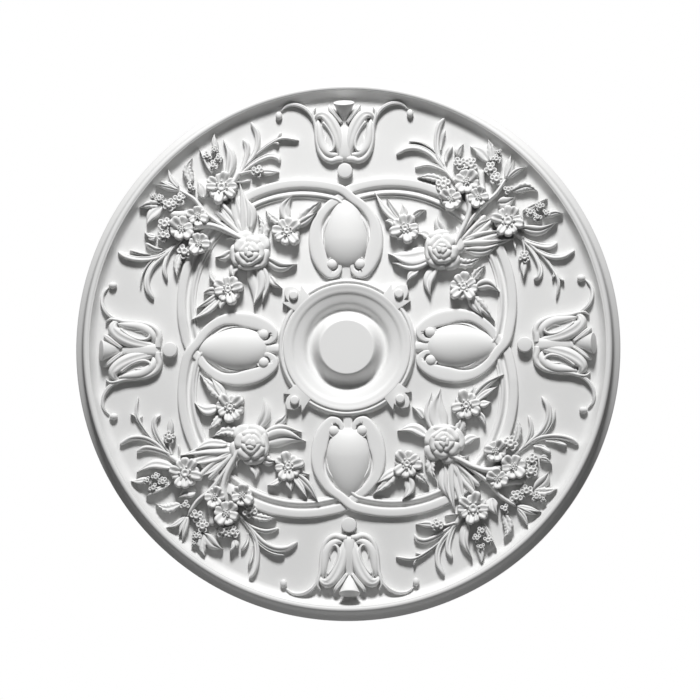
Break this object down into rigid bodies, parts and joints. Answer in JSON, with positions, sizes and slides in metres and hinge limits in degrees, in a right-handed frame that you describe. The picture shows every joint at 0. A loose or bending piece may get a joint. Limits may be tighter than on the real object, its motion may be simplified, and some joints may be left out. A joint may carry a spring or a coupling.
{
  "type": "ceiling rose",
  "caption": "Round ceiling rose: rimmed disc with a dished centre and flat pad, interlaced straps, pointed eggs, curled husks with tendrils and sprays of flowers in relief.",
  "frame": {"origin": "middle of the flat back", "axes": "+Y out of the flat back, towards the ceiling or wall that it is fixed to; the ornament faces -Y; +Z is the top of the pattern as it is drawn upright"},
  "size_m": [0.95, 0.056, 0.95],
  "materials": {
    "moulding": "primed matt white, light moulded foam body with a fine hard skin"
  },
  "bodies": {
    "root": {"ceiling_rose": "moulding"}
  },
  "joints": []
}
